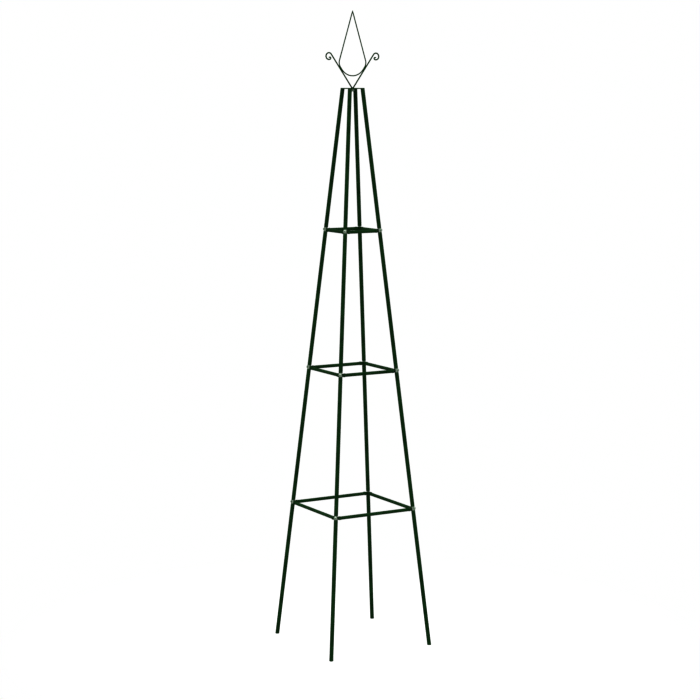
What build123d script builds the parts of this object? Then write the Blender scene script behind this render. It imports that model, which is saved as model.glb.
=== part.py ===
"""Garden obelisk: a tapering frame for climbing plants, screwed together from steel tube.

Four leaning legs stand on the ground and slip over pegs under a top plate. Each leg is four tubes
of about equal length, with a pin joining each tube to the next. The pins show where the three square
rings of thin tube cross the legs: a pan-head screw goes through each pin into a tapped plate across
the ring's corner, whose lower edge stands on the end of the tube below. A finial of bent rod, a
teardrop between two scrolled arms, is welded to a stud and held by a nut under the top plate.

Millimetres, +Z up. The origin is on the ground, midway between the four feet. The front is -Y,
and the finial stands in the XZ plane.
"""

from build123d import *
from math import atan2, cos, degrees, radians, sin, sqrt, tan
import os

# ---- driving dimensions -------------------------------------------------------------------------
TOTAL_HEIGHT = 1950.0
FOOT_SPACING = 350.0            # leg centre to leg centre on the ground
TOP_SPACING = 44.4              # leg centre to leg centre under the top plate
PLATE_TOP_Z = 1718.5
PLATE_THICKNESS = 3.0

LEG_DIAMETER = 12.0
LEG_WALL = 1.0
LEG_SECTIONS = ("bottom", "second", "third", "top")
SECTION_GAP = 12.0              # between the tubes of a leg, centred on each ring
PIN_DIAMETER = 9.8
PIN_LENGTH = 62.0
PIN_CHAMFER = 1.0

RING_NAMES = ("lower", "middle", "upper")
LOWEST_RING_Z = 428.0           # centre height
RING_PITCH = 429.4
BAR_DIAMETER = 10.0
BAR_WALL = 1.0

CORNER_PLATE_THICKNESS = 4.0
CORNER_PLATE_HEIGHT = 10.0
CORNER_PLATE_LENGTH = 32.0      # covers the mitred ends of both bars
CORNER_PLATE_TAPPING = 5.1
JOINT_RISE = 2.1                # screws above the bars' centrelines, which centres the bars on the plate

SCREW_DIAMETER = 5.0
SCREW_HOLE = 5.5
SCREW_HEAD_DIAMETER = 10.0
SCREW_HEAD_HEIGHT = 3.7
SCREW_HEAD_RIM = 1.1            # height of the head's upright edge, below its dome
RECESS_SPAN = 4.8               # cross recess in the head
RECESS_WIDTH = 1.0
RECESS_DEPTH = 2.2

PEG_DIAMETER = 9.6
PEG_LENGTH = 30.0
PEG_CHAMFER = 1.0

STUD_DIAMETER = 6.0
STUD_HOLE = 6.6
STUD_TIP = 1.2                  # what shows below the nut
WASHER_DIAMETER = 12.0
WASHER_THICKNESS = 1.6
NUT_ACROSS_FLATS = 10.0
NUT_HEIGHT = 5.0
NUT_CHAMFER = 0.6
THREAD_CLEARANCE = 0.1          # on diameter, between a screw thread and its tapped hole

TEAR_ROD_DIAMETER = 3.2
TEAR_HALF_ANGLE = 17.2          # of its point, each side of upright
TEAR_POINT_Z = 1948.1           # where the centrelines of its two straight sides meet
TEAR_SHOULDER_RADIUS = 24.0     # centreline bend from a side to the stretch along an arm
TEAR_BOTTOM_RADIUS = 46.0       # centreline bend under the teardrop
ARM_ROD_DIAMETER = 3.8
ARM_LEAN = 35.5                 # from upright
ARM_FOOT_X = 2.0                # centreline at the top plate's upper face
ARM_STRAIGHT = 123.6            # length of the straight part above the plate
SCROLL_TURNS = ((10.0, 260.0), (3.1, 195.0))    # radius and angle of each arc, outside inwards

# ---- worked out from them -----------------------------------------------------------------------
PLATE_UNDER_Z = PLATE_TOP_Z - PLATE_THICKNESS
FOOT_HALF = FOOT_SPACING / 2
TOP_HALF = TOP_SPACING / 2
LEG_RADIUS = LEG_DIAMETER / 2
PIN_RADIUS = PIN_DIAMETER / 2
LEAN_SLOPE = sqrt(2) * (FOOT_HALF - TOP_HALF) / PLATE_UNDER_Z
LEAN = degrees(atan2(LEAN_SLOPE, 1))            # of a leg, on the diagonal
BAR_END = PIN_RADIUS + CORNER_PLATE_THICKNESS   # from the leg's axis to the ring bars' cut ends

OVERSHOOT = 8.0                 # extra length on stock that is trimmed back to a plane
BIG = 80.0                      # side of the blocks that trim it

SIDES = {"front": (0, -1), "right": (1, 0), "back": (0, 1), "left": (-1, 0)}
CORNERS = {"front_left": (-1, -1), "front_right": (1, -1), "back_right": (1, 1), "back_left": (-1, 1)}


def save(shape, node):
    """Write one sub-part to its own file."""
    export_step(shape, f"parts/{node}.step")


def leg_half_at(height):
    """Distance of a leg's axis from the XZ and YZ planes at a height."""
    return FOOT_HALF + (TOP_HALF - FOOT_HALF) * height / PLATE_UNDER_Z


def ring_height(index):
    """Centre height of a ring, counted from 0 at the lowest."""
    return LOWEST_RING_Z + RING_PITCH * index


def joint_height(index):
    """Height at which a ring's screws, and the middles of its pins and gaps, cross the legs' axes."""
    return ring_height(index) + JOINT_RISE


def leg_plane(corner, height):
    """Plane across a leg: its Z runs up the leg and its X points outwards on the diagonal."""
    sx, sy = CORNERS[corner]
    half = leg_half_at(height)
    slope = sin(radians(LEAN)) / sqrt(2)
    along = Vector(-sx * slope, -sy * slope, cos(radians(LEAN)))
    across = Vector(-sy, sx, 0).normalized()
    outward = across.cross(along)
    if outward.dot(Vector(sx, sy, 0)) < 0:
        outward = outward * -1
    return Plane(origin=(sx * half, sy * half, height), x_dir=outward, z_dir=along)


def screw_plane(corner, height):
    """Plane on a leg's axis: its Z is the screw's axis, outwards, and its X is level."""
    across_leg = leg_plane(corner, height)
    level = across_leg.z_dir.cross(across_leg.x_dir)
    return Plane(origin=across_leg.origin, x_dir=level, z_dir=across_leg.x_dir)


def block(low, high):
    """A box given by its lowest and highest corners."""
    size = [b - a for a, b in zip(low, high)]
    return Pos(*low) * Box(*size, align=(Align.MIN, Align.MIN, Align.MIN))


def tube(plane, outer, wall, low, high):
    """A round tube along a plane's Z, from low to high."""
    ring = Circle(outer / 2) - Circle(outer / 2 - wall)
    return plane * Pos(0, 0, low) * extrude(ring, high - low)


# ---- legs ---------------------------------------------------------------------------------------
def make_leg(corner, section):
    """One of a leg's tubes: cut square at the rings, and level at the ground and the top plate."""
    joints = [joint_height(index) / cos(radians(LEAN)) for index in range(len(RING_NAMES))]
    low = [-OVERSHOOT] + [joint + SECTION_GAP / 2 for joint in joints]
    high = [joint - SECTION_GAP / 2 for joint in joints] + [PLATE_UNDER_Z / cos(radians(LEAN)) + OVERSHOOT]
    leg = tube(leg_plane(corner, 0), LEG_DIAMETER, LEG_WALL, low[section], high[section])
    sx, sy = CORNERS[corner]
    leg -= Pos(sx * FOOT_HALF, sy * FOOT_HALF, -BIG / 2) * Box(BIG, BIG, BIG)
    return leg - Pos(sx * TOP_HALF, sy * TOP_HALF, PLATE_UNDER_Z + BIG / 2) * Box(BIG, BIG, BIG)


def make_pin(corner, index):
    """A pin inside the ends of two of a leg's tubes, drilled through for a ring's screw."""
    pin = Cylinder(PIN_RADIUS, PIN_LENGTH)
    pin = chamfer(pin.edges().filter_by(GeomType.CIRCLE), PIN_CHAMFER)
    hole = screw_plane(corner, joint_height(index)) * Cylinder(SCREW_HOLE / 2, LEG_DIAMETER)
    return leg_plane(corner, joint_height(index)) * pin - hole


# ---- rings --------------------------------------------------------------------------------------
def make_bar(side, index):
    """A ring's tube on one side, mitred at each end against the inner face of the corner plates."""
    sx, sy = SIDES[side]
    height = ring_height(index)
    half = leg_half_at(height)
    plane = Plane(origin=(sx * half, sy * half, height), x_dir=(sx, sy, 0), z_dir=(-sy, sx, 0))
    ends = [corner for corner, (cx, cy) in CORNERS.items() if cx * sx + cy * sy > 0]
    bar = tube(plane, BAR_DIAMETER, BAR_WALL, -half, half)
    for corner in ends:
        trim = Box(BIG, BIG, BIG, align=(Align.CENTER, Align.CENTER, Align.MIN))
        bar -= screw_plane(corner, joint_height(index)) * Pos(0, 0, -BAR_END) * trim
    return bar


def make_corner_plate(corner, index):
    """A tapped plate with round ends, against the pin and standing on the end of the tube below."""
    drop = (SECTION_GAP - CORNER_PLATE_HEIGHT) / 2
    outline = Pos(0, -drop) * SlotOverall(CORNER_PLATE_LENGTH, CORNER_PLATE_HEIGHT)
    outline -= Circle(CORNER_PLATE_TAPPING / 2)
    plate = extrude(outline, CORNER_PLATE_THICKNESS)
    return screw_plane(corner, joint_height(index)) * Pos(0, 0, -BAR_END) * plate


def make_screw(corner, index):
    """A pan-head screw with a cross recess, from the pin's outer side to the plate's inner face."""
    head_radius = SCREW_HEAD_DIAMETER / 2
    seat = PIN_RADIUS
    crown = seat + SCREW_HEAD_HEIGHT
    dome_rise = SCREW_HEAD_HEIGHT - SCREW_HEAD_RIM
    dome_radius = (head_radius**2 + dome_rise**2) / (2 * dome_rise)
    head = Cylinder(head_radius, SCREW_HEAD_HEIGHT, align=(Align.CENTER, Align.CENTER, Align.MIN))
    head = Pos(0, 0, seat) * head & Pos(0, 0, crown - dome_radius) * Sphere(dome_radius)
    recess = Box(RECESS_SPAN, RECESS_WIDTH, RECESS_DEPTH) + Box(RECESS_WIDTH, RECESS_SPAN, RECESS_DEPTH)
    head -= Pos(0, 0, crown - RECESS_DEPTH / 2) * recess
    shank_length = PIN_RADIUS + BAR_END
    shank = Cylinder(SCREW_DIAMETER / 2, shank_length, align=(Align.CENTER, Align.CENTER, Align.MAX))
    shank = chamfer(shank.edges().group_by(Axis.Z)[0], 0.5)
    return screw_plane(corner, joint_height(index)) * (head + Pos(0, 0, seat) * shank)


# ---- top plate and leg pegs ---------------------------------------------------------------------
def make_top_plate():
    """A square plate whose rounded corners follow the legs, with the stud's hole in its centre."""
    side = TOP_SPACING + LEG_DIAMETER
    outline = RectangleRounded(side, side, LEG_RADIUS) - Circle(STUD_HOLE / 2)
    return Pos(0, 0, PLATE_UNDER_Z) * extrude(outline, PLATE_THICKNESS)


def make_peg(corner):
    """A round peg on the plate's underside, sloping with the leg that slips over it."""
    plane = leg_plane(corner, PLATE_UNDER_Z)
    peg = Cylinder(PEG_DIAMETER / 2, PEG_LENGTH + OVERSHOOT)
    peg = chamfer(peg.edges().group_by(Axis.Z)[0], PEG_CHAMFER)
    peg = plane * Pos(0, 0, (OVERSHOOT - PEG_LENGTH) / 2) * peg
    return peg - Pos(0, 0, PLATE_UNDER_Z + BIG / 2) * Box(2 * BIG, 2 * BIG, BIG)


# ---- finial -------------------------------------------------------------------------------------
def rod(path, diameter):
    """Bend a round rod along a path in the XZ plane."""
    start = Plane(origin=path @ 0, z_dir=path % 0)
    return sweep(start * Circle(diameter / 2), path=path)


def make_arm():
    """The right arm: straight up and outwards from the plate's centre, then curled into a scroll."""
    lean = radians(ARM_LEAN)
    heading = (sin(lean), cos(lean))
    start = (ARM_FOOT_X - OVERSHOOT * heading[0], PLATE_TOP_Z - OVERSHOOT * heading[1])
    end = (ARM_FOOT_X + ARM_STRAIGHT * heading[0], PLATE_TOP_Z + ARM_STRAIGHT * heading[1])
    pieces = [Line(start, end)]
    for radius, angle in SCROLL_TURNS:
        last = pieces[-1]
        pieces.append(JernArc(start=last @ 1, tangent=last % 1, radius=radius, arc_size=-angle))
    arm = rod(Plane.XZ * Wire(pieces), ARM_ROD_DIAMETER)
    arm -= block((-BIG, -BIG, PLATE_TOP_Z - BIG), (BIG, BIG, PLATE_TOP_Z))
    return arm - block((-BIG, -BIG, PLATE_TOP_Z - BIG), (0, BIG, PLATE_TOP_Z + BIG))


def make_teardrop():
    """A closed teardrop: it lies against both arms for a short stretch, its point at full height."""
    point = radians(TEAR_HALF_ANGLE)
    lean = radians(ARM_LEAN)
    contact = (TEAR_ROD_DIAMETER + ARM_ROD_DIAMETER) / 2
    # The stretches along the arms, carried on downwards, meet on the axis at this height.
    base_z = PLATE_TOP_Z - ARM_FOOT_X / tan(lean) + contact / sin(lean)
    # A side and the stretch below it would meet in a corner, at these distances from their ends.
    side_reach = (TEAR_POINT_Z - base_z) * sin(lean) / sin(lean + point)
    arm_reach = (TEAR_POINT_Z - base_z) * sin(point) / sin(lean + point)
    shoulder_cut = TEAR_SHOULDER_RADIUS * tan((lean + point) / 2)
    bottom_cut = TEAR_BOTTOM_RADIUS / tan(lean)
    heading = Vector(sin(point), -cos(point))
    top = Vector(0, TEAR_POINT_Z)
    side = Line(top - heading * OVERSHOOT, top + heading * (side_reach - shoulder_cut))
    shoulder = JernArc(side @ 1, side % 1, TEAR_SHOULDER_RADIUS, -(ARM_LEAN + TEAR_HALF_ANGLE))
    along = Line(shoulder @ 1, shoulder @ 1 + (shoulder % 1) * (arm_reach - shoulder_cut - bottom_cut))
    bottom = JernArc(along @ 1, along % 1, TEAR_BOTTOM_RADIUS, -(90 - ARM_LEAN))
    half = rod(Plane.XZ * Wire([side, shoulder, along, bottom]), TEAR_ROD_DIAMETER)
    half -= block((-BIG, -BIG, 0), (0, BIG, TOTAL_HEIGHT + BIG))
    teardrop = half + mirror(half, Plane.YZ)
    return teardrop - block((-BIG, -BIG, TOTAL_HEIGHT), (BIG, BIG, TOTAL_HEIGHT + BIG))


def make_stud():
    """A threaded stud through the top plate, welded to the feet of the arms."""
    bottom = PLATE_UNDER_Z - WASHER_THICKNESS - NUT_HEIGHT - STUD_TIP
    stud = Cylinder(STUD_DIAMETER / 2, PLATE_TOP_Z - bottom, align=(Align.CENTER, Align.CENTER, Align.MIN))
    stud = chamfer(stud.edges().group_by(Axis.Z)[0], 0.6)
    return Pos(0, 0, bottom) * stud


def make_washer():
    """A plain washer under the top plate."""
    outline = Circle(WASHER_DIAMETER / 2) - Circle(STUD_HOLE / 2)
    return Pos(0, 0, PLATE_UNDER_Z - WASHER_THICKNESS) * extrude(outline, WASHER_THICKNESS)


def make_nut():
    """A hexagon nut below the washer, its corners turned down at both faces."""
    circumradius = NUT_ACROSS_FLATS / 2 / cos(radians(30))
    bore = (STUD_DIAMETER + THREAD_CLEARANCE) / 2
    nut = extrude(RegularPolygon(circumradius, 6) - Circle(bore), NUT_HEIGHT)
    turned = Cylinder(circumradius, NUT_HEIGHT, align=(Align.CENTER, Align.CENTER, Align.MIN))
    nut &= chamfer(turned.edges(), NUT_CHAMFER)
    return Pos(0, 0, PLATE_UNDER_Z - WASHER_THICKNESS - NUT_HEIGHT) * nut


# ---- build --------------------------------------------------------------------------------------
os.makedirs("parts", exist_ok=True)

for corner in CORNERS:
    for section, name in enumerate(LEG_SECTIONS):
        save(make_leg(corner, section), f"leg_{corner}_{name}")
    save(make_peg(corner), f"peg_{corner}")

for index, ring in enumerate(RING_NAMES):
    for side in SIDES:
        save(make_bar(side, index), f"{ring}_ring_bar_{side}")
    for corner in CORNERS:
        save(make_corner_plate(corner, index), f"{ring}_ring_corner_{corner}")
    save(Compound([make_pin(corner, index) for corner in CORNERS]), f"{ring}_ring_pins")
    save(Compound([make_screw(corner, index) for corner in CORNERS]), f"{ring}_ring_screws")

save(make_top_plate(), "top_plate")
right_arm = make_arm()
save(right_arm, "finial_scroll_right")
save(mirror(right_arm, Plane.YZ), "finial_scroll_left")
save(make_teardrop(), "finial_teardrop")
save(make_stud(), "finial_stud")
save(make_washer(), "finial_washer")
save(make_nut(), "finial_nut")
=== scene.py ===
"""Garden obelisk in its visible form: powder-coated steel tube and rod with zinc-plated fasteners.

Every CAD node is replaced by a finer mesh of the same size in the same place: tubes with deburred
ends, pins drilled for their screws, threaded fasteners, and the weld beads that the CAD model leaves out.
Lengths are metres; MM turns millimetres into metres. The front is -Y and +Z is up.
"""

import math
import random

import bmesh
import bpy
from mathutils import Matrix, Vector


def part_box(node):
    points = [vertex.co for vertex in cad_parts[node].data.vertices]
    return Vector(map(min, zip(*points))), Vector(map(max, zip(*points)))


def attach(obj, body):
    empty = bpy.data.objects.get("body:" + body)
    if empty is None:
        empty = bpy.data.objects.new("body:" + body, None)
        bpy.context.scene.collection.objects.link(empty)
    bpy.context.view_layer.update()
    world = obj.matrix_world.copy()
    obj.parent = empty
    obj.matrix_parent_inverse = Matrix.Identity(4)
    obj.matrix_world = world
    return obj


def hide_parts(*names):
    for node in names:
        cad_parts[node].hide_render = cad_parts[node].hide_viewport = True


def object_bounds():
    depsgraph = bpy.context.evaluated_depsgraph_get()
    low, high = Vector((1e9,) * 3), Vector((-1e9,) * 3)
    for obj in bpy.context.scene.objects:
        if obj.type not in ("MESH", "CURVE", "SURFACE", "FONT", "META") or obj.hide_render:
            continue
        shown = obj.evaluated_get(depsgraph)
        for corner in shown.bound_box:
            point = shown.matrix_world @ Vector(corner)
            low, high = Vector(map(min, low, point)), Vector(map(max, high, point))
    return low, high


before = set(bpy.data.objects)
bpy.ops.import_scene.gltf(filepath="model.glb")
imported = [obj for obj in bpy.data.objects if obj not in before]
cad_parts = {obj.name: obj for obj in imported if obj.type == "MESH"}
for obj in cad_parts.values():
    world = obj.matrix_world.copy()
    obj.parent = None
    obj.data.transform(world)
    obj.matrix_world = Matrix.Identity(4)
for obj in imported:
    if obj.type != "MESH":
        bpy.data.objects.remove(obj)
cad_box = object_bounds()

MM = 0.001
Y_AXIS = Vector((0, 1, 0))
Z_AXIS = Vector((0, 0, 1))

CORNERS = {"front_left": (-1, -1), "front_right": (1, -1), "back_right": (1, 1), "back_left": (-1, 1)}
SIDES = {"front": (0, -1), "right": (1, 0), "back": (0, 1), "left": (-1, 0)}
RINGS = ("lower", "middle", "upper")
SECTIONS = ("bottom", "second", "third", "top")

# ---- sections and fasteners, the same as in the CAD model ---------------------------------------
LEG_RADIUS = 6.0 * MM
LEG_BORE_RADIUS = 5.0 * MM
BAR_RADIUS = 5.0 * MM
BAR_BORE_RADIUS = 4.0 * MM
TUBE_EDGE = 0.18 * MM           # rounding of a deburred tube end
SECTION_GAP = 12.0 * MM
PIN_RADIUS = 4.9 * MM
PIN_LENGTH = 62.0 * MM
PIN_CHAMFER = 1.0 * MM
SCREW_HOLE_RADIUS = 2.75 * MM
CORNER_PLATE_THICKNESS = 4.0 * MM
CORNER_PLATE_LENGTH = 32.0 * MM
CORNER_PLATE_HEIGHT = 10.0 * MM
TAPPED_HOLE_RADIUS = 2.55 * MM
BAR_END = PIN_RADIUS + CORNER_PLATE_THICKNESS
JOINT_RISE = 2.1 * MM           # screws and pins above the ring bars' centrelines
PLATE_EDGE = 0.35 * MM          # rounding of flat stock
STUD_HOLE_RADIUS = 3.3 * MM
PEG_RADIUS = 4.8 * MM
PEG_LENGTH = 30.0 * MM

SCREW_RADIUS = 2.5 * MM
SCREW_PITCH = 0.8 * MM
SCREW_HEAD_RADIUS = 5.0 * MM
SCREW_HEAD_HEIGHT = 3.7 * MM
SCREW_HEAD_RIM = 1.1 * MM
STUD_RADIUS = 3.0 * MM
STUD_PITCH = 1.0 * MM
THREAD_DEPTH = 0.61             # of the pitch
NUT_ACROSS_FLATS = 10.0 * MM
NUT_BORE_RADIUS = 3.05 * MM

# ---- finial, the same as in the CAD model -------------------------------------------------------
TEAR_ROD_RADIUS = 1.6 * MM
TEAR_HALF_ANGLE = math.radians(17.2)
TEAR_POINT_BELOW_TOP = 1.9 * MM         # where its centrelines meet, below its ground-off tip
TEAR_SHOULDER_RADIUS = 24.0 * MM
TEAR_BOTTOM_RADIUS = 46.0 * MM
ARM_ROD_RADIUS = 1.9 * MM
ARM_LEAN = math.radians(35.5)
ARM_FOOT_X = 2.0 * MM
ARM_STRAIGHT = 123.6 * MM
SCROLL_TURNS = ((10.0 * MM, math.radians(260)), (3.1 * MM, math.radians(195)))

ROUND = 48                      # points round a tube or a fastener
ROD_ROUND = 28                  # points round a finial rod


# ---- places read from the frame -----------------------------------------------------------------
def rim_centre(node, height):
    """Centre of a node's cut end at a height."""
    rim = [v.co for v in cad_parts[node].data.vertices if abs(v.co.z - height) < 0.01 * MM]
    low = Vector([min(p[i] for p in rim) for i in range(3)])
    high = Vector([max(p[i] for p in rim) for i in range(3)])
    return (low + high) / 2


PLATE_UNDER_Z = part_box("top_plate")[0].z
PLATE_TOP_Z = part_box("top_plate")[1].z
TOP_Z = cad_box[1].z
RING_Z = {ring: sum(corner.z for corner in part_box(f"{ring}_ring_bar_front")) / 2 for ring in RINGS}
JOINT_Z = {ring: height + JOINT_RISE for ring, height in RING_Z.items()}
LEG_FEET = {corner: rim_centre(f"leg_{corner}_bottom", 0.0) for corner in CORNERS}
LEG_TOPS = {corner: rim_centre(f"leg_{corner}_top", PLATE_UNDER_Z) for corner in CORNERS}


def corner_matrix(corner, height):
    """Axes on a leg: X level across the diagonal, Y up the leg and Z outwards, as a screw points."""
    foot, top = LEG_FEET[corner], LEG_TOPS[corner]
    up = (top - foot).normalized()
    level = up.cross(Z_AXIS).normalized()
    outward = level.cross(up)
    origin = foot + up * ((height - foot.z) / up.z)
    return Matrix.Translation(origin) @ Matrix((level, up, outward)).transposed().to_4x4()


# ---- mesh building ------------------------------------------------------------------------------
def circle(radius, count=ROUND):
    """Points of a circle in the XY plane."""
    turns = [2 * math.pi * i / count for i in range(count)]
    return [Vector((radius * math.cos(a), radius * math.sin(a), 0)) for a in turns]


def lofted(loops, closed=False):
    """A bmesh through a list of equal loops, joined end to end, or capped at both ends."""
    made = bmesh.new()
    rows = [[made.verts.new(point) for point in loop] for loop in loops]
    count = len(rows[0])
    pairs = list(zip(rows, rows[1:] + rows[:1])) if closed else list(zip(rows, rows[1:]))
    for lower, upper in pairs:
        for i in range(count):
            j = (i + 1) % count
            made.faces.new((lower[i], lower[j], upper[j], upper[i]))
    if not closed:
        made.faces.new(list(reversed(rows[0])))
        made.faces.new(rows[-1])
    bmesh.ops.recalc_face_normals(made, faces=made.faces)
    return made


def joined(parts):
    """Several bmeshes as one."""
    whole = bmesh.new()
    for part in parts:
        copy = bpy.data.meshes.new("part")
        part.to_mesh(copy)
        whole.from_mesh(copy)
        bpy.data.meshes.remove(copy)
        part.free()
    return whole


def plain_object(name, made, matrix=None):
    """A linked object from a bmesh, with smooth faces and sharp edges between flat ones."""
    mesh = bpy.data.meshes.new(name)
    if matrix is not None:
        made.transform(matrix)
    made.to_mesh(mesh)
    made.free()
    mesh.shade_smooth()
    mesh.set_sharp_from_angle(angle=math.radians(38))
    item = bpy.data.objects.new(name, mesh)
    bpy.context.scene.collection.objects.link(item)
    return item


def cut_out(item, cutters):
    """Take the cutters' volume out of an object, and drop the cutters."""
    cut = item.modifiers.new("cut", "BOOLEAN")
    cut.operation = "DIFFERENCE"
    cut.solver = "EXACT"
    cut.object = cutters
    bpy.context.view_layer.update()
    graph = bpy.context.evaluated_depsgraph_get()
    mesh = bpy.data.meshes.new_from_object(item.evaluated_get(graph))
    item.modifiers.clear()
    old = item.data
    item.data = mesh
    mesh.name = item.name
    bpy.data.meshes.remove(old)
    bpy.data.objects.remove(cutters)
    mesh.shade_smooth()
    mesh.set_sharp_from_angle(angle=math.radians(38))
    return item


def finished(item, node, material):
    """Give a piece its material, and let it stand for a CAD node on the only body."""
    item.data.materials.clear()
    for entry in material if isinstance(material, (list, tuple)) else [material]:
        item.data.materials.append(entry)
    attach(item, "root")
    if node:
        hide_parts(node)
    return item


def quarter(steps=4):
    """Sines and cosines of a quarter turn, for rounding an edge."""
    turns = [math.pi / 2 * i / steps for i in range(steps + 1)]
    return [(math.sin(a), math.cos(a)) for a in turns]


def tube_loops(origin, along, across, start, end, outer, bore, stations):
    """Loops of a tube wall between two cut planes, each a point and a normal, ends rounded over."""
    third = along.cross(across)

    def loop(radius, place):
        made = []
        for point in circle(1.0):
            rim = origin + across * (radius * point.x) + third * (radius * point.y)
            made.append(rim + along * place(rim))
        return made

    def on_plane(plane, inset):
        where, normal = plane
        return lambda rim: (where - rim).dot(normal) / along.dot(normal) + inset

    edge = TUBE_EDGE
    loops = []
    for s, c in reversed(quarter()):
        loops.append(loop(outer - edge + edge * c, on_plane(start, edge - edge * s)))
    loops += [loop(outer, lambda rim, t=t: t) for t in stations]
    for s, c in quarter():
        loops.append(loop(outer - edge + edge * c, on_plane(end, edge * s - edge)))
    for s, c in reversed(quarter()):
        loops.append(loop(bore + edge - edge * c, on_plane(end, edge * s - edge)))
    loops += [loop(bore, lambda rim, t=t: t) for t in reversed(stations)]
    for s, c in quarter():
        loops.append(loop(bore + edge - edge * c, on_plane(start, edge - edge * s)))
    return loops


def rounded_rectangle(length, width, radius, count=8):
    """A counterclockwise outline, with round corners and evenly divided straight sides."""
    reach_x, reach_y = length / 2 - radius, width / 2 - radius
    arcs = []
    for first, (sx, sy) in enumerate(((1, 1), (-1, 1), (-1, -1), (1, -1))):
        for i in range(count + 1):
            a = math.pi / 2 * (first + i / count)
            arcs.append(Vector((sx * reach_x + radius * math.cos(a), sy * reach_y + radius * math.sin(a), 0)))
    points = []
    for here, after in zip(arcs, arcs[1:] + arcs[:1]):
        gap = (after - here).length
        parts = math.ceil(gap / (2 * MM)) if gap > 0.001 * MM else 0
        points += [here.lerp(after, i / parts) for i in range(parts)]
    return points


def flat_loops(outline, hole, thickness, edge=PLATE_EDGE):
    """Loops of a flat plate with a round hole, all edges rounded, from z = 0 to its thickness."""
    runs = [outline[(i + 1) % len(outline)] - outline[i - 1] for i in range(len(outline))]
    inward = [Z_AXIS.cross(run).normalized() for run in runs]
    spokes = [point.normalized() for point in outline]

    def outer(shrink, z):
        return [p + d * shrink + Z_AXIS * z for p, d in zip(outline, inward)]

    def inner(grow, z):
        return [p * (hole + grow) + Z_AXIS * z for p in spokes]

    loops = [outer(edge - edge * c, edge - edge * s) for s, c in reversed(quarter())]
    loops += [outer(edge - edge * c, thickness - edge + edge * s) for s, c in quarter()]
    loops += [inner(edge - edge * c, thickness - edge + edge * s) for s, c in reversed(quarter())]
    loops += [inner(edge - edge * c, edge - edge * s) for s, c in quarter()]
    return loops


def cylinder_loops(radius, low, high, count=ROUND):
    """Loops of a plain cylinder along Z."""
    return [[p + Z_AXIS * z for p in circle(radius, count)] for z in (low, high)]


def thread_loops(radius, pitch, low, high, tip, count):
    """Loops of a threaded shank along Z, from high down to low, with its tip turned down."""
    depth = THREAD_DEPTH * pitch
    steps = math.ceil((high - low) / (pitch / 6))
    loops = []
    for step in range(steps + 1):
        z = high - (high - low) * step / steps
        limit = radius - max(0.0, tip - (z - low))
        loop = []
        for i, p in enumerate(circle(1.0, count)):
            phase = (z / pitch - i / count) % 1.0
            crest = min(1.0, max(0.0, 1.8 - abs(phase - 0.5) * 4))
            loop.append(p * min(limit, radius - depth * crest) + Z_AXIS * z)
        loops.append(loop)
    return loops


def bead_object(name, path, outward, radius, closed, seed, material):
    """A weld bead along a path: overlapping ripples, slightly uneven, its ends tapered if open."""
    chance = random.Random(seed)
    pitch = 1.3 * MM
    count = len(path)
    length = 0.0
    loops = []
    wander = [chance.uniform(0.93, 1.07) for _ in range(count // 6 + 2)]
    if closed:
        wander[-2:] = [wander[0], wander[0]]
    total = sum((path[i] - path[i - 1]).length for i in range(0 if closed else 1, count))
    waves = max(1, round(total / pitch))
    for i, centre in enumerate(path):
        before = path[i - 1] if closed or i else path[0]
        after = path[(i + 1) % count] if closed else path[min(i + 1, count - 1)]
        if i:
            length += (centre - path[i - 1]).length
        run = (after - before).normalized()
        out = (outward[i] - run * outward[i].dot(run)).normalized()
        side = run.cross(out)
        place = i / count * (len(wander) - 1)
        share = place - int(place)
        size = wander[int(place)] * (1 - share) + wander[int(place) + 1] * share
        if not closed:
            size *= max(0.12, min(1.0, 1 - abs(2 * i / (count - 1) - 1) ** 5))
        loop = []
        for p in circle(1.0, 12):
            phase = (length / total * waves + 0.25 * p.y * p.y) % 1.0
            ripple = 0.88 + 0.15 * (1 - (2 * phase - 1) ** 2)
            loop.append(centre + (out * p.x + side * p.y) * (radius * size * ripple))
        loops.append(loop)
    item = plain_object(name, lofted(loops, closed=closed))
    return finished(item, None, material)


def path_between(first, last, count):
    """Evenly spaced points on a straight run."""
    return [first.lerp(last, i / (count - 1)) for i in range(count)]


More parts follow.
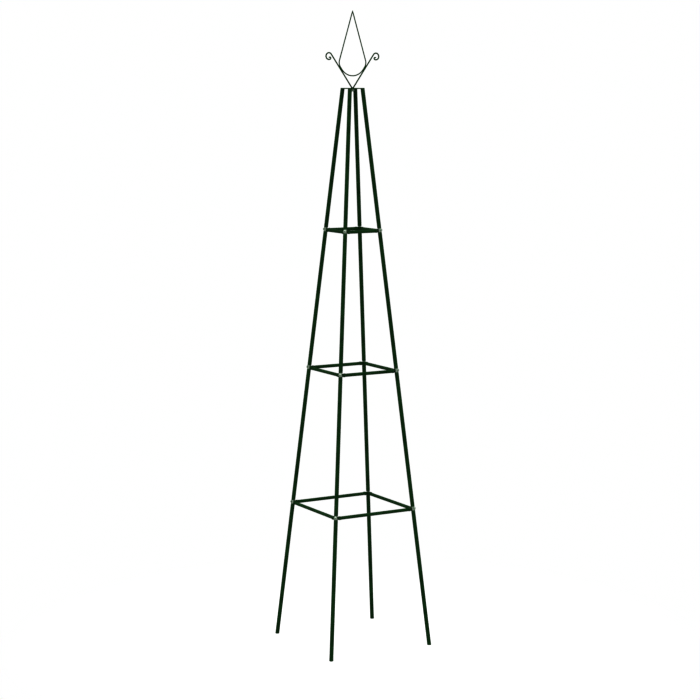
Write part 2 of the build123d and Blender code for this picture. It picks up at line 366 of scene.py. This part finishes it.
# ---- materials ----------------------------------------------------------------------------------
class Shader:
    """A material's nodes, added and linked with short calls."""

    def __init__(self, name):
        self.material = bpy.data.materials.new(name)
        self.material.use_nodes = True
        self.tree = self.material.node_tree
        self.tree.nodes.clear()
        self.surface = self.tree.nodes.new("ShaderNodeBsdfPrincipled")
        output = self.tree.nodes.new("ShaderNodeOutputMaterial")
        self.link(self.surface.outputs["BSDF"], output.inputs["Surface"])
        self.place = self.tree.nodes.new("ShaderNodeTexCoord").outputs["Object"]

    def link(self, source, target):
        self.tree.links.new(source, target)

    def noise(self, wavelength, detail=2.0, roughness=0.5):
        """Noise with a wavelength in metres, from 0 to 1."""
        node = self.tree.nodes.new("ShaderNodeTexNoise")
        node.inputs["Scale"].default_value = 1 / wavelength
        node.inputs["Detail"].default_value = detail
        node.inputs["Roughness"].default_value = roughness
        self.link(self.place, node.inputs["Vector"])
        return node.outputs["Fac"]

    def attribute(self, name):
        node = self.tree.nodes.new("ShaderNodeAttribute")
        node.attribute_name = name
        return node.outputs["Fac"]

    def mapped(self, source, low, high, to_low, to_high):
        """A value's range from low to high stretched to another range, and clamped."""
        node = self.tree.nodes.new("ShaderNodeMapRange")
        node.inputs["From Min"].default_value = low
        node.inputs["From Max"].default_value = high
        node.inputs["To Min"].default_value = to_low
        node.inputs["To Max"].default_value = to_high
        self.link(source, node.inputs["Value"])
        return node.outputs["Result"]

    def sum_of(self, first, second, operation="ADD"):
        node = self.tree.nodes.new("ShaderNodeMath")
        node.operation = operation
        self.link(first, node.inputs[0])
        self.link(second, node.inputs[1])
        return node.outputs["Value"]

    def blended(self, share, first, second):
        """Two colours, each a value or a socket, mixed by a share."""
        node = self.tree.nodes.new("ShaderNodeMix")
        node.data_type = "RGBA"
        self.link(share, node.inputs["Factor"])
        for name, colour in (("A", first), ("B", second)):
            socket = [i for i in node.inputs if i.name == name and i.type == "RGBA"][0]
            if isinstance(colour, tuple):
                socket.default_value = (*colour, 1)
            else:
                self.link(colour, socket)
        return [o for o in node.outputs if o.type == "RGBA"][0]

    def bump(self, height, depth, normal=None):
        """A bump of a height field whose full swing is a depth in metres."""
        node = self.tree.nodes.new("ShaderNodeBump")
        node.inputs["Strength"].default_value = 1.0
        node.inputs["Distance"].default_value = depth
        self.link(height, node.inputs["Height"])
        if normal is not None:
            self.link(normal, node.inputs["Normal"])
        return node.outputs["Normal"]

    def set(self, **values):
        """Constants on the surface's own sockets; an underscore stands for a space."""
        for name, value in values.items():
            self.surface.inputs[name.replace("_", " ")].default_value = value

    def drive(self, **sources):
        """Links into the surface's own sockets; an underscore stands for a space."""
        for name, source in sources.items():
            self.link(source, self.surface.inputs[name.replace("_", " ")])


def powder_coat():
    """Satin dark green powder coat: orange peel, fine grain, faint mottling, thin over sharp edges."""
    made = Shader("green_powder_coat")
    mottle = made.mapped(made.noise(28 * MM, 3.0), 0.35, 0.65, 0, 1)
    colour = made.blended(mottle, (0.013, 0.072, 0.016), (0.025, 0.115, 0.030))
    speck = made.mapped(made.noise(0.6 * MM, 1.0), 0.60, 0.70, 0, 0.7)
    colour = made.blended(speck, colour, (0.038, 0.145, 0.044))
    patchy = made.mapped(made.noise(1.1 * MM), 0.4, 0.6, 0.3, 1)
    thin = made.sum_of(made.attribute("wear"), patchy, "MULTIPLY")
    colour = made.blended(thin, colour, (0.060, 0.150, 0.070))
    rough = made.mapped(made.noise(9 * MM, 2.0), 0.3, 0.7, 0.34, 0.50)
    peel = made.bump(made.noise(1.4 * MM, 1.0), 0.035 * MM)
    grain = made.bump(made.noise(0.25 * MM, 1.0), 0.005 * MM, peel)
    made.drive(Base_Color=colour, Roughness=rough, Normal=grain)
    made.set(Specular_IOR_Level=0.11)
    return made.material


def zinc_plate():
    """Green-tinted zinc plating: faint clouds, fine tool marks, duller patches at random, painted shade
    darkening the screw tips.
    """
    made = Shader("zinc_plated_steel")
    cloud = made.mapped(made.noise(3.5 * MM, 2.0), 0.35, 0.65, 0, 1)
    colour = made.blended(cloud, (0.59, 0.73, 0.63), (0.66, 0.75, 0.60))
    grime = made.mapped(made.noise(0.9 * MM, 3.0), 0.5, 0.75, 0, 0.45)
    colour = made.blended(grime, colour, (0.36, 0.45, 0.36))
    colour = made.blended(made.attribute("wear"), colour, (0.76, 0.88, 0.78))
    # Painted shade: the screw tips go near black, as if sunk in shadow in their tapped holes.
    colour = made.blended(made.attribute("oil"), colour, (0.030, 0.045, 0.028))
    rough = made.mapped(made.noise(0.7 * MM, 3.0), 0.3, 0.7, 0.40, 0.56)
    scratch = made.bump(made.noise(0.18 * MM, 2.0), 0.004 * MM)
    made.drive(Base_Color=colour, Roughness=rough, Normal=scratch)
    made.set(Metallic=1.0)
    return made.material


def tube_bore():
    """The inside of a tube: dull mill steel with green overspray near the cut end."""
    made = Shader("tube_bore")
    scale = made.mapped(made.noise(4 * MM, 3.0), 0.35, 0.65, 0, 1)
    colour = made.blended(scale, (0.045, 0.042, 0.040), (0.090, 0.080, 0.070))
    patchy = made.mapped(made.noise(0.6 * MM, 2.0), 0.3, 0.6, 0.5, 1)
    cover = made.sum_of(made.attribute("wear"), patchy, "MULTIPLY")
    colour = made.blended(cover, colour, (0.020, 0.095, 0.024))
    rough = made.mapped(made.noise(2 * MM, 2.0), 0.3, 0.7, 0.55, 0.75)
    made.drive(Base_Color=colour, Roughness=rough, Normal=made.bump(made.noise(0.5 * MM, 2.0), 0.01 * MM))
    made.set(Specular_IOR_Level=0.3)
    return made.material


GREEN = powder_coat()
ZINC = zinc_plate()
BORE = tube_bore()


def paint_wear(item, wear):
    """Store how worn each point is, from 0 to 1, as a function of its place."""
    layer = item.data.attributes.new("wear", "FLOAT", "POINT")
    layer.data.foreach_set("value", [wear(v.co) for v in item.data.vertices])


def near(distance, reach):
    """1 at no distance, falling smoothly to 0 at a reach."""
    share = max(0.0, 1 - abs(distance) / reach)
    return share * share * (3 - 2 * share)


# ---- legs, pegs and rings -----------------------------------------------------------------------
def make_leg(corner, section):
    """One tube of a leg, between a ring and the next, the ground or the top plate."""
    foot, top = LEG_FEET[corner], LEG_TOPS[corner]
    up = (top - foot).normalized()
    level = up.cross(Z_AXIS).normalized()
    joints = [foot + up * ((JOINT_Z[ring] - foot.z) / up.z) for ring in RINGS]
    starts = [(foot, Z_AXIS)] + [(joint + up * (SECTION_GAP / 2), up) for joint in joints]
    ends = [(joint - up * (SECTION_GAP / 2), up) for joint in joints] + [(top, Z_AXIS)]
    start, end = starts[section], ends[section]
    length = (end[0] - start[0]).length
    stations = [6 * MM + (length - 12 * MM) * i / 10 for i in range(11)]
    stations[1:1] = [15 * MM, 30 * MM]
    stations[-1:-1] = [length - 30 * MM, length - 15 * MM]
    loops = tube_loops(start[0], up, level, start, end, LEG_RADIUS, LEG_BORE_RADIUS, stations)
    leg = plain_object(f"leg_{corner}_{SECTIONS[section]}_tube", lofted(loops, closed=True))
    middle = (LEG_RADIUS + LEG_BORE_RADIUS) / 2

    def from_axis(point):
        arm = point - foot
        return (arm - up * arm.dot(up)).length

    def from_end(point):
        return min(abs((point - where).dot(normal)) for where, normal in (start, end))

    for face in leg.data.polygons:
        bore = from_axis(face.center) < middle and from_end(face.center) > TUBE_EDGE / 2
        face.material_index = 1 if bore else 0
    paint_wear(leg, lambda p: near(from_end(p), 0.5 * MM if from_axis(p) > middle else 25 * MM))
    finished(leg, f"leg_{corner}_{SECTIONS[section]}", (GREEN, BORE))


def pin_mesh():
    """A joining pin along Y: chamfered ends and a hole along Z for the screw."""
    half = PIN_LENGTH / 2
    profile = [(PIN_RADIUS - PIN_CHAMFER, -half), (PIN_RADIUS, PIN_CHAMFER - half)]
    profile += [(PIN_RADIUS, z * MM) for z in (-24, -16, -9, -5, 5, 9, 16, 24)]
    profile += [(PIN_RADIUS, half - PIN_CHAMFER), (PIN_RADIUS - PIN_CHAMFER, half)]
    made = lofted([[p * radius + Z_AXIS * z for p in circle(1.0)] for radius, z in profile])
    made.transform(Matrix.Rotation(math.radians(-90), 4, "X"))
    pin = plain_object("pin", made)
    drill = lofted(cylinder_loops(SCREW_HOLE_RADIUS, -8 * MM, 8 * MM, 40))
    cut_out(pin, plain_object("drill", drill))
    mesh = pin.data
    bpy.data.objects.remove(pin)
    end = half - PIN_CHAMFER * 1.2
    mesh.attributes.new("wear", "FLOAT", "POINT").data.foreach_set(
        "value", [0.6 if abs(v.co.y) > end else 0.0 for v in mesh.vertices])
    return mesh


def make_pins():
    mesh = pin_mesh()
    for ring in RINGS:
        for corner in CORNERS:
            pin = bpy.data.objects.new(f"{ring}_ring_pin_{corner}", mesh)
            bpy.context.scene.collection.objects.link(pin)
            pin.matrix_world = corner_matrix(corner, JOINT_Z[ring])
            finished(pin, f"{ring}_ring_pins", ZINC)


def make_peg(corner):
    """A round peg inside the leg's top end, cut level where it is welded under the plate."""
    place = corner_matrix(corner, PLATE_UNDER_Z)
    across = place.to_3x3()
    level, up, outward = (across.col[i].copy() for i in range(3))
    top = place.translation
    chamfer = 1.0 * MM
    loops = []
    for radius, low in ((PEG_RADIUS - chamfer, PEG_LENGTH), (PEG_RADIUS, PEG_LENGTH - chamfer)):
        loops.append([top + level * p.x + outward * p.y - up * low for p in circle(radius)])
    rims = [top + level * p.x + outward * p.y for p in circle(PEG_RADIUS)]
    loops.append([rim + up * ((PLATE_UNDER_Z - rim.z) / up.z) for rim in rims])
    peg = plain_object(f"peg_{corner}_rod", lofted(loops))
    paint_wear(peg, lambda point: 0.0)
    finished(peg, f"peg_{corner}", GREEN)


def bar_end_plane(corner, ring):
    """The plane of a corner plate's inner face, as a point and a normal."""
    place = corner_matrix(corner, JOINT_Z[ring])
    outward = place.to_3x3().col[2].copy()
    return place.translation - outward * BAR_END, outward


def make_bar(side, ring):
    """A ring's tube, mitred against a corner plate at each end, with a weld bead round each end."""
    node = f"{ring}_ring_bar_{side}"
    low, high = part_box(node)
    sx, sy = SIDES[side]
    origin = (low + high) / 2
    out = Vector((sx, sy, 0))
    along = Vector((-sy, sx, 0))
    corners = [name for name, (cx, cy) in CORNERS.items() if cx * sx + cy * sy > 0]
    corners.sort(key=lambda name: LEG_FEET[name].dot(along))
    planes = [bar_end_plane(name, ring) for name in corners]
    reach = (high - low).dot(Vector((abs(sy), abs(sx), 0))) / 2 - 2 * BAR_RADIUS - 1.5 * MM
    count = max(3, round(reach / (12 * MM)))
    stations = [reach * (2 * i / count - 1) for i in range(count + 1)]
    loops = tube_loops(origin, along, out, planes[0], planes[1], BAR_RADIUS, BAR_BORE_RADIUS, stations)
    bar = plain_object(f"{node}_tube", lofted(loops, closed=True))
    paint_wear(bar, lambda point: 0.0)
    finished(bar, node, GREEN)
    third = along.cross(out)
    for corner, (where, normal) in zip(corners, planes):
        inward = 1 if along.dot(normal) < 0 else -1
        path, spokes = [], []
        for p in circle(1.0, 108):
            spoke = out * p.x + third * p.y
            rim = origin + spoke * (BAR_RADIUS + 0.05 * MM)
            reach = (where - rim).dot(normal) / along.dot(normal)
            path.append(rim + along * (reach + inward * 0.35 * MM))
            spokes.append(spoke)
        seed = f"{node} {corner}"
        bead_object(f"{node}_weld_{corner}", path, spokes, 0.8 * MM, True, seed, GREEN)


def make_corner_plate(corner, ring):
    node = f"{ring}_ring_corner_{corner}"
    drop = Y_AXIS * (SECTION_GAP - CORNER_PLATE_HEIGHT) / 2
    outline = rounded_rectangle(CORNER_PLATE_LENGTH, CORNER_PLATE_HEIGHT, CORNER_PLATE_HEIGHT / 2)
    outline = [point - drop for point in outline]
    loops = flat_loops(outline, TAPPED_HOLE_RADIUS, CORNER_PLATE_THICKNESS)
    made = lofted(loops, closed=True)
    paint = [abs(v.co.z - CORNER_PLATE_THICKNESS) < PLATE_EDGE for v in made.verts]
    place = corner_matrix(corner, JOINT_Z[ring]) @ Matrix.Translation((0, 0, -BAR_END))
    plate = plain_object(f"{node}_plate", made, place)
    layer = plate.data.attributes.new("wear", "FLOAT", "POINT")
    layer.data.foreach_set("value", [0.35 if worn else 0.0 for worn in paint])
    finished(plate, node, GREEN)


def screw_mesh():
    """A pan-head screw along Z, its head's seat at the pin's outer side and a cross recess in it."""
    seat = PIN_RADIUS
    crown = seat + SCREW_HEAD_HEIGHT
    rise = SCREW_HEAD_HEIGHT - SCREW_HEAD_RIM
    dome = (SCREW_HEAD_RADIUS**2 + rise**2) / (2 * rise)
    widest = math.asin(SCREW_HEAD_RADIUS / dome)
    soft = 0.25 * MM
    profile = []
    for i in range(1, 13):
        turn = widest * i / 12 * 0.97
        profile.append((dome * math.sin(turn), crown - dome + dome * math.cos(turn)))
    profile.append((SCREW_HEAD_RADIUS, seat + SCREW_HEAD_RIM * 0.8))
    for s, c in quarter(3):
        profile.append((SCREW_HEAD_RADIUS - soft + soft * c, seat + soft - soft * s))
    profile.append((SCREW_RADIUS, seat))
    loops = [[p * radius + Z_AXIS * z for p in circle(1.0, 36)] for radius, z in profile]
    loops += thread_loops(SCREW_RADIUS, SCREW_PITCH, -BAR_END, seat - 0.4 * MM, 0.5 * MM, 36)
    screw = plain_object("screw", lofted(loops))
    wings = []
    for turn in (0, math.pi / 2):
        wide, narrow = 2.4 * MM, 1.3 * MM
        half, thin = 0.52 * MM, 0.36 * MM
        levels = ((narrow, thin, crown - 2.2 * MM), (wide, half, crown + 0.5 * MM))
        boxes = [[Vector((x * a, y * b, z)) for x, y in ((1, 1), (-1, 1), (-1, -1), (1, -1))]
                 for a, b, z in levels]
        wing = lofted(boxes)
        wing.transform(Matrix.Rotation(turn, 4, "Z"))
        wings.append(wing)
    for wing in wings:
        cut_out(screw, plain_object("wing", joined([wing])))
    mesh = screw.data
    bpy.data.objects.remove(screw)
    mesh.attributes.new("wear", "FLOAT", "POINT").data.foreach_set(
        "value", [0.6 if v.co.z > seat + 2.9 * MM and 1.9 * MM < v.co.xy.length < 3.4 * MM else 0.0
                  for v in mesh.vertices])
    # Painted shade: darkest at the screw tip, which sits flush in the tapped hole, fading out over 2.5 mm.
    mesh.attributes.new("oil", "FLOAT", "POINT").data.foreach_set(
        "value", [near(v.co.z + BAR_END, 2.5 * MM) for v in mesh.vertices])
    return mesh


def make_screws():
    mesh = screw_mesh()
    for ring in RINGS:
        for corner in CORNERS:
            screw = bpy.data.objects.new(f"{ring}_ring_screw_{corner}", mesh)
            bpy.context.scene.collection.objects.link(screw)
            turn = random.Random(screw.name).uniform(0, math.pi)
            screw.matrix_world = corner_matrix(corner, JOINT_Z[ring]) @ Matrix.Rotation(turn, 4, "Z")
            finished(screw, f"{ring}_ring_screws", ZINC)


# ---- top plate and finial fixings ---------------------------------------------------------------
def make_top_plate():
    low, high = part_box("top_plate")
    outline = rounded_rectangle(high.x - low.x, high.y - low.y, LEG_RADIUS)
    made = lofted(flat_loops(outline, STUD_HOLE_RADIUS, high.z - low.z), closed=True)
    plate = plain_object("top_plate_sheet", made, Matrix.Translation((0, 0, low.z)))
    reach = (high.x - low.x) / 2 - 0.8 * MM
    paint_wear(plate, lambda p: 0.5 * near(max(0.0, reach - max(abs(p.x), abs(p.y))), 0.5 * MM))
    finished(plate, "top_plate", GREEN)


def make_stud():
    low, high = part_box("finial_stud")
    loops = thread_loops(STUD_RADIUS, STUD_PITCH, low.z, high.z, 0.6 * MM, ROUND)
    stud = plain_object("finial_stud_thread", lofted(loops))
    paint_wear(stud, lambda point: 0.0)
    finished(stud, "finial_stud", ZINC)


def make_washer():
    low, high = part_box("finial_washer")
    outline = circle((high.x - low.x) / 2, 72)
    made = lofted(flat_loops(outline, STUD_HOLE_RADIUS, high.z - low.z, 0.25 * MM), closed=True)
    washer = plain_object("finial_washer_ring", made, Matrix.Translation((0, 0, low.z)))
    paint_wear(washer, lambda point: 0.0)
    finished(washer, "finial_washer", ZINC)


def make_nut():
    """A hexagon nut: flats cut by a 30 degree chamfer at both faces, and a countersunk bore."""
    low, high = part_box("finial_nut")
    face = 0.95 * NUT_ACROSS_FLATS / 2
    sink = 0.45 * MM
    spokes = circle(1.0, 96)
    sixth = math.pi / 3
    turns = [math.atan2(p.y, p.x) % sixth - sixth / 2 for p in spokes]
    hexagon = [NUT_ACROSS_FLATS / 2 / math.cos(turn) for turn in turns]
    drop = [(radius - face) * math.tan(math.radians(30)) for radius in hexagon]

    def ring(radius, z):
        return [p * radius + Z_AXIS * z for p in spokes]

    loops = [ring(NUT_BORE_RADIUS + sink, high.z), ring(face, high.z)]
    loops.append([p * r + Z_AXIS * (high.z - d) for p, r, d in zip(spokes, hexagon, drop)])
    loops.append([p * r + Z_AXIS * (low.z + d) for p, r, d in zip(spokes, hexagon, drop)])
    loops += [ring(face, low.z), ring(NUT_BORE_RADIUS + sink, low.z)]
    loops += [ring(NUT_BORE_RADIUS, low.z + sink), ring(NUT_BORE_RADIUS, high.z - sink)]
    nut = plain_object("finial_nut_hexagon", lofted(loops, closed=True))
    paint_wear(nut, lambda point: 0.7 * near(max(0.0, 5.6 * MM - point.xy.length), 0.3 * MM))
    finished(nut, "finial_nut", ZINC)


# ---- finial -------------------------------------------------------------------------------------
def heading_vector(heading):
    """A direction in the XZ plane, its angle from upright towards +X."""
    return Vector((math.sin(heading), 0, math.cos(heading)))


def right_of(heading):
    return Vector((math.cos(heading), 0, -math.sin(heading)))


def rod_loop(centre, heading, radius):
    """A rod's section, across its heading."""
    right = right_of(heading)
    return [centre + right * p.x + Y_AXIS * p.y for p in circle(radius, ROD_ROUND)]


def straight_on(stations, length, steps):
    """Carry a rod's path, a list of centres and headings, straight on."""
    start, heading = stations[-1]
    for i in range(1, steps + 1):
        stations.append((start + heading_vector(heading) * (length * i / steps), heading))


def bend_on(stations, radius, angle):
    """Carry a rod's path on round a bend to its right."""
    start, heading = stations[-1]
    centre = start + right_of(heading) * radius
    count = max(6, round(math.degrees(angle) / 4))
    for i in range(1, count + 1):
        turned = heading + angle * i / count
        stations.append((centre - right_of(turned) * radius, turned))


def arm_stations():
    """Centre and heading along the right arm, from the plate out to the scroll's inner end."""
    stations = [(Vector((ARM_FOOT_X, 0, PLATE_TOP_Z)), ARM_LEAN)]
    straight_on(stations, ARM_STRAIGHT, 14)
    for radius, angle in SCROLL_TURNS:
        bend_on(stations, radius, angle)
    return stations[1:]


def make_arm(side, sign):
    """A scroll arm: cut level on the plate, mitred against the other arm, its end rounded."""
    foot = Vector((ARM_FOOT_X, 0, PLATE_TOP_Z))
    along = heading_vector(ARM_LEAN)
    first = [p + along * ((PLATE_TOP_Z - p.z) / along.z) for p in rod_loop(foot, ARM_LEAN, ARM_ROD_RADIUS)]
    start = [p + along * (2.5 * MM) for p in first]
    stations = arm_stations()
    loops = [first, start] + [rod_loop(centre, heading, ARM_ROD_RADIUS) for centre, heading in stations]
    end, heading = stations[-1]
    for i in range(1, 6):
        turn = math.pi / 2 * i / 6
        tip = end + heading_vector(heading) * (ARM_ROD_RADIUS * 0.6 * math.sin(turn))
        loops.append(rod_loop(tip, heading, ARM_ROD_RADIUS * math.cos(turn)))
    for loop in loops[:3]:
        for point in loop:
            point.x = max(point.x, 0.0)
    mirrored = [[Vector((sign * p.x, p.y, p.z)) for p in loop] for loop in loops]
    arm = plain_object(f"finial_scroll_{side}_rod", lofted(mirrored))
    paint_wear(arm, lambda point: 0.0)
    finished(arm, f"finial_scroll_{side}", GREEN)


def teardrop_stations():
    """Centre and heading down the teardrop's right half, and the middle of its stretch on the arm."""
    point_z = TOP_Z - TEAR_POINT_BELOW_TOP
    contact = TEAR_ROD_RADIUS + ARM_ROD_RADIUS
    corner = ARM_LEAN + TEAR_HALF_ANGLE
    base_z = PLATE_TOP_Z - ARM_FOOT_X / math.tan(ARM_LEAN) + contact / math.sin(ARM_LEAN)
    side_reach = (point_z - base_z) * math.sin(ARM_LEAN) / math.sin(corner)
    arm_reach = (point_z - base_z) * math.sin(TEAR_HALF_ANGLE) / math.sin(corner)
    shoulder_cut = TEAR_SHOULDER_RADIUS * math.tan(corner / 2)
    bottom_cut = TEAR_BOTTOM_RADIUS / math.tan(ARM_LEAN)
    stations = [(Vector((0, 0, point_z)), math.pi - TEAR_HALF_ANGLE)]
    straight_on(stations, side_reach - shoulder_cut, 16)
    bend_on(stations, TEAR_SHOULDER_RADIUS, corner)
    first = stations[-1][0]
    straight_on(stations, arm_reach - shoulder_cut - bottom_cut, 2)
    last = stations[-1][0]
    bend_on(stations, TEAR_BOTTOM_RADIUS, math.pi / 2 - ARM_LEAN)
    return stations, (first + last) / 2


def make_teardrop():
    """A closed loop of rod, its two straight sides mitred and ground to a blunt point on top."""
    stations, _ = teardrop_stations()
    point, heading = stations[0]
    along = heading_vector(heading)
    mitre = [p + along * (-p.x / along.x) for p in rod_loop(point, heading, TEAR_ROD_RADIUS)]
    right_loops = [rod_loop(place, direction, TEAR_ROD_RADIUS) for place, direction in stations[1:]]
    left_loops = [[Vector((-p.x, p.y, p.z)) for p in loop] for loop in reversed(right_loops[:-1])]
    loops = [mitre] + right_loops + left_loops
    ease = 2.6 * MM
    for loop in loops:
        for p in loop:
            over = (p.z - (TOP_Z - ease)) / ease
            if over > 0:
                p.z = TOP_Z - ease + ease * math.tanh(over)
    teardrop = plain_object("finial_teardrop_rod", lofted(loops, closed=True))
    paint_wear(teardrop, lambda p: 0.0)
    finished(teardrop, "finial_teardrop", GREEN)


def make_finial_welds():
    """Beads round the arms' feet, in their crotch, and where the teardrop touches each arm."""
    reach = ARM_FOOT_X + ARM_ROD_RADIUS / math.cos(ARM_LEAN)
    path, spokes = [], []
    for p in circle(1.0, 72):
        path.append(Vector((reach * p.x, 2.0 * MM * p.y, PLATE_TOP_Z + 0.25 * MM)))
        spokes.append(Vector((p.x, p.y, 0.6)))
    bead_object("finial_foot_weld", path, spokes, 0.9 * MM, True, "foot", GREEN)
    crotch = PLATE_TOP_Z + 1.2 * MM
    path = path_between(Vector((0, -1.9 * MM, crotch)), Vector((0, 1.9 * MM, crotch)), 25)
    bead_object("finial_crotch_weld", path, [Z_AXIS] * 25, 1.0 * MM, False, "crotch", GREEN)
    _, against = teardrop_stations()
    for side, sign in (("left", -1), ("right", 1)):
        out = right_of(ARM_LEAN)
        along = heading_vector(ARM_LEAN)
        contact = against + out * TEAR_ROD_RADIUS
        for face, way in (("front", -1), ("back", 1)):
            middle = contact + Y_AXIS * (way * 0.95 * MM)
            path = path_between(middle - along * (4.5 * MM), middle + along * (4.5 * MM), 41)
            path = [Vector((sign * p.x, p.y, p.z)) for p in path]
            name = f"finial_tack_weld_{side}_{face}"
            bead_object(name, path, [Y_AXIS * way] * 41, 0.95 * MM, False, name, GREEN)


for corner in CORNERS:
    for section in range(len(SECTIONS)):
        make_leg(corner, section)
    make_peg(corner)
for ring in RINGS:
    for side in SIDES:
        make_bar(side, ring)
    for corner in CORNERS:
        make_corner_plate(corner, ring)
make_pins()
make_screws()
make_top_plate()
make_stud()
make_washer()
make_nut()
make_arm("right", 1)
make_arm("left", -1)
make_teardrop()
make_finial_welds()


# ---- studio -------------------------------------------------------------------------------------
CAMERA_PLACE = (-2.9717, -5.1471, 1.7234)
CAMERA_AZIMUTH = -30.0          # degrees, 0 looks along +Y
CAMERA_PAN = 0.0013             # radians
CAMERA_DOWN = 0.1348            # radians
CAMERA_LENS = 100.0
SENSOR = 36.0
DOME_GLOW = 0.9                 # radiance overhead
SIDE_GLOW = 0.50                # radiance near the horizon
BOUNCE_GLOW = 0.5               # radiance of the floor near the object, as the object sees it
FLOOR_GLOW = 0.70


def make_camera():
    data = bpy.data.cameras.new("camera")
    data.lens = CAMERA_LENS
    data.sensor_width = SENSOR
    data.clip_start = 0.1
    data.clip_end = 300.0
    camera = bpy.data.objects.new("camera", data)
    bpy.context.scene.collection.objects.link(camera)
    heading = math.radians(CAMERA_AZIMUTH) + CAMERA_PAN
    level = math.cos(CAMERA_DOWN)
    aim = Vector((-math.sin(heading) * level, math.cos(heading) * level, -math.sin(CAMERA_DOWN)))
    camera.location = CAMERA_PLACE
    camera.rotation_mode = "QUATERNION"
    camera.rotation_quaternion = aim.to_track_quat("-Z", "Y")
    bpy.context.scene.camera = camera


def make_world():
    """A white surround for the camera. Everything else is lit from above, with dim sides."""
    world = bpy.data.worlds.new("studio")
    bpy.context.scene.world = world
    world.use_nodes = True
    tree = world.node_tree
    tree.nodes.clear()
    output = tree.nodes.new("ShaderNodeOutputWorld")
    mix = tree.nodes.new("ShaderNodeMixShader")
    rays = tree.nodes.new("ShaderNodeLightPath")
    dome = tree.nodes.new("ShaderNodeBackground")
    white = tree.nodes.new("ShaderNodeBackground")
    place = tree.nodes.new("ShaderNodeTexCoord")
    split = tree.nodes.new("ShaderNodeSeparateXYZ")
    rise = tree.nodes.new("ShaderNodeMapRange")
    rise.interpolation_type = "SMOOTHSTEP"
    rise.inputs["From Min"].default_value = 0.10
    rise.inputs["From Max"].default_value = 0.60
    rise.inputs["To Min"].default_value = SIDE_GLOW
    rise.inputs["To Max"].default_value = DOME_GLOW
    white.inputs["Color"].default_value = (1, 1, 1, 1)
    white.inputs["Strength"].default_value = 1.0
    tree.links.new(place.outputs["Generated"], split.inputs["Vector"])
    tree.links.new(split.outputs["Z"], rise.inputs["Value"])
    tree.links.new(rise.outputs["Result"], dome.inputs["Strength"])
    tree.links.new(rays.outputs["Is Camera Ray"], mix.inputs["Fac"])
    tree.links.new(dome.outputs["Background"], mix.inputs[1])
    tree.links.new(white.outputs["Background"], mix.inputs[2])
    tree.links.new(mix.outputs["Shader"], output.inputs["Surface"])


def make_floor():
    """A pale floor, matt round the object and fading into the white surround."""
    made = bmesh.new()
    bmesh.ops.create_grid(made, x_segments=1, y_segments=1, size=100)
    mesh = bpy.data.meshes.new("floor")
    made.to_mesh(mesh)
    made.free()
    floor = bpy.data.objects.new("floor", mesh)
    floor.location = (0, 0, -0.2 * MM)
    bpy.context.scene.collection.objects.link(floor)
    material = bpy.data.materials.new("floor")
    material.use_nodes = True
    tree = material.node_tree
    tree.nodes.clear()
    output = tree.nodes.new("ShaderNodeOutputMaterial")
    matt = tree.nodes.new("ShaderNodeBsdfDiffuse")
    matt.inputs["Color"].default_value = (0.5, 0.5, 0.5, 1)
    base = tree.nodes.new("ShaderNodeEmission")
    base.inputs["Strength"].default_value = FLOOR_GLOW
    lit = tree.nodes.new("ShaderNodeAddShader")
    glow = tree.nodes.new("ShaderNodeEmission")
    glow.inputs["Strength"].default_value = 1.0
    rays = tree.nodes.new("ShaderNodeLightPath")
    bounce = tree.nodes.new("ShaderNodeEmission")
    place = tree.nodes.new("ShaderNodeTexCoord")
    far = tree.nodes.new("ShaderNodeVectorMath")
    far.operation = "LENGTH"
    fade = tree.nodes.new("ShaderNodeMapRange")
    fade.interpolation_type = "SMOOTHSTEP"
    fade.inputs["From Min"].default_value = 0.35
    fade.inputs["From Max"].default_value = 1.1
    fall = tree.nodes.new("ShaderNodeMapRange")
    fall.interpolation_type = "SMOOTHSTEP"
    fall.inputs["From Min"].default_value = 0.5
    fall.inputs["From Max"].default_value = 3.0
    fall.inputs["To Min"].default_value = BOUNCE_GLOW
    fall.inputs["To Max"].default_value = SIDE_GLOW
    blend = tree.nodes.new("ShaderNodeMixShader")
    seen = tree.nodes.new("ShaderNodeMixShader")
    tree.links.new(place.outputs["Object"], far.inputs[0])
    tree.links.new(far.outputs["Value"], fade.inputs["Value"])
    tree.links.new(far.outputs["Value"], fall.inputs["Value"])
    tree.links.new(fall.outputs["Result"], bounce.inputs["Strength"])
    tree.links.new(base.outputs["Emission"], lit.inputs[0])
    tree.links.new(matt.outputs["BSDF"], lit.inputs[1])
    tree.links.new(fade.outputs["Result"], blend.inputs["Fac"])
    tree.links.new(lit.outputs["Shader"], blend.inputs[1])
    tree.links.new(glow.outputs["Emission"], blend.inputs[2])
    tree.links.new(rays.outputs["Is Camera Ray"], seen.inputs["Fac"])
    tree.links.new(bounce.outputs["Emission"], seen.inputs[1])
    tree.links.new(blend.outputs["Shader"], seen.inputs[2])
    tree.links.new(seen.outputs["Shader"], output.inputs["Surface"])
    mesh.materials.append(material)


def make_sun():
    """An even overhead light with a broad source, so that shadows stay faint."""
    data = bpy.data.lights.new("overhead", "SUN")
    data.energy = 0.9
    data.angle = math.radians(40)
    sun = bpy.data.objects.new("overhead", data)
    sun.rotation_euler = (math.radians(28), 0, math.radians(-52))
    bpy.context.scene.collection.objects.link(sun)


make_camera()
make_world()
make_floor()
make_sun()
bpy.context.scene.view_settings.view_transform = "Standard"
bpy.context.scene.view_settings.gamma = 0.6
